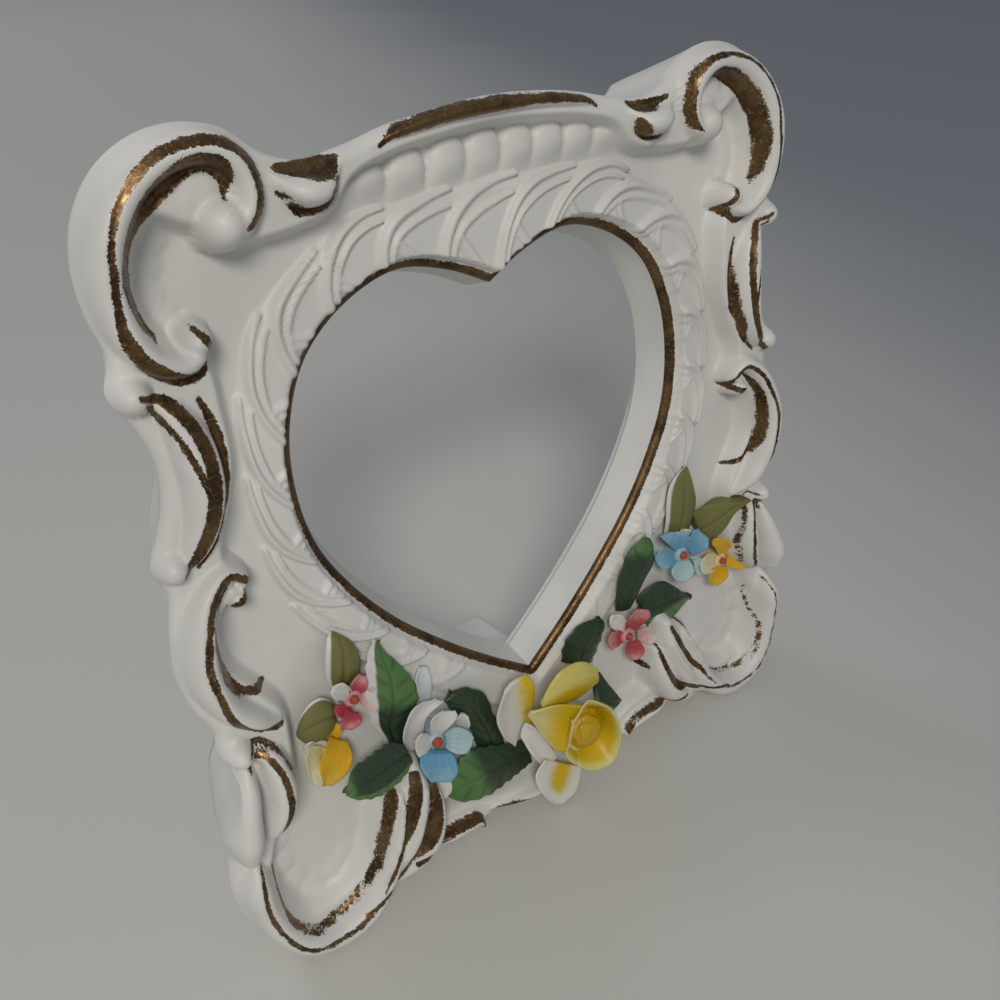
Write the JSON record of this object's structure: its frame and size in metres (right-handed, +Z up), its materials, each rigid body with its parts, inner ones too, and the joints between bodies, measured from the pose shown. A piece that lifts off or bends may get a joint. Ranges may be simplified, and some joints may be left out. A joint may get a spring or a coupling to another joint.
{
  "type": "heart shaped photo frame",
  "caption": "Free-standing scrolled porcelain photo frame with a heart shaped opening, gilt relief and applied leaves, small flowers and a rose.",
  "frame": {"origin": "on the table plane, in the middle of the rear foot's sole, on the frame's middle line", "axes": "+X to the viewer's right, +Z up, and the front faces -Y, leaned back 8 degrees"},
  "size_m": [0.172, 0.0753, 0.1761],
  "materials": {
    "bisque": "unglazed white bisque, matte, with gilt painted on the relief",
    "olive_leaf": "painted olive green, satin",
    "dark_leaf": "painted dark green with light edges, satin",
    "pink_petal": "painted pink with pale edges, satin",
    "yellow_petal": "painted yellow with white edges, satin",
    "blue_petal": "painted light blue with white edges, satin",
    "flower_centre": "painted red orange, satin",
    "rose_petal": "painted pale yellow with white edges, satin",
    "rose_heart": "painted deep yellow, satin"
  },
  "bodies": {
    "root": {"frame_body": "bisque", "rear_foot": "bisque", "olive_leaf_left_upper": "olive_leaf", "olive_leaf_left_lower": "olive_leaf", "olive_leaf_right_upper": "olive_leaf", "olive_leaf_right_lower": "olive_leaf", "dark_leaf_left_upper": "dark_leaf", "dark_leaf_left_lower": "dark_leaf", "dark_leaf_centre_upper": "dark_leaf", "dark_leaf_centre_lower": "dark_leaf", "dark_leaf_by_point": "dark_leaf", "small_leaf_by_rose": "dark_leaf", "green_leaf_right_upper": "dark_leaf", "green_leaf_right_lower": "dark_leaf", "pink_flower_left": "pink_petal", "pink_flower_left_centre": "flower_centre", "yellow_flower_left": "yellow_petal", "yellow_flower_left_centre": "flower_centre", "blue_flower_left": "blue_petal", "blue_flower_left_centre": "flower_centre", "pink_flower_right": "pink_petal", "pink_flower_right_centre": "flower_centre", "blue_flower_right": "blue_petal", "blue_flower_right_centre": "flower_centre", "yellow_flower_right": "yellow_petal", "yellow_flower_right_centre": "flower_centre", "rose_base": "rose_petal", "rose_petal_upper": "rose_petal", "rose_petal_left": "rose_petal", "rose_petal_lower": "rose_petal", "rose_petal_right": "rose_petal", "rose_inner_petal_1": "rose_heart", "rose_inner_petal_2": "rose_heart", "rose_inner_petal_3": "rose_heart", "rose_heart": "rose_heart"}
  },
  "joints": []
}
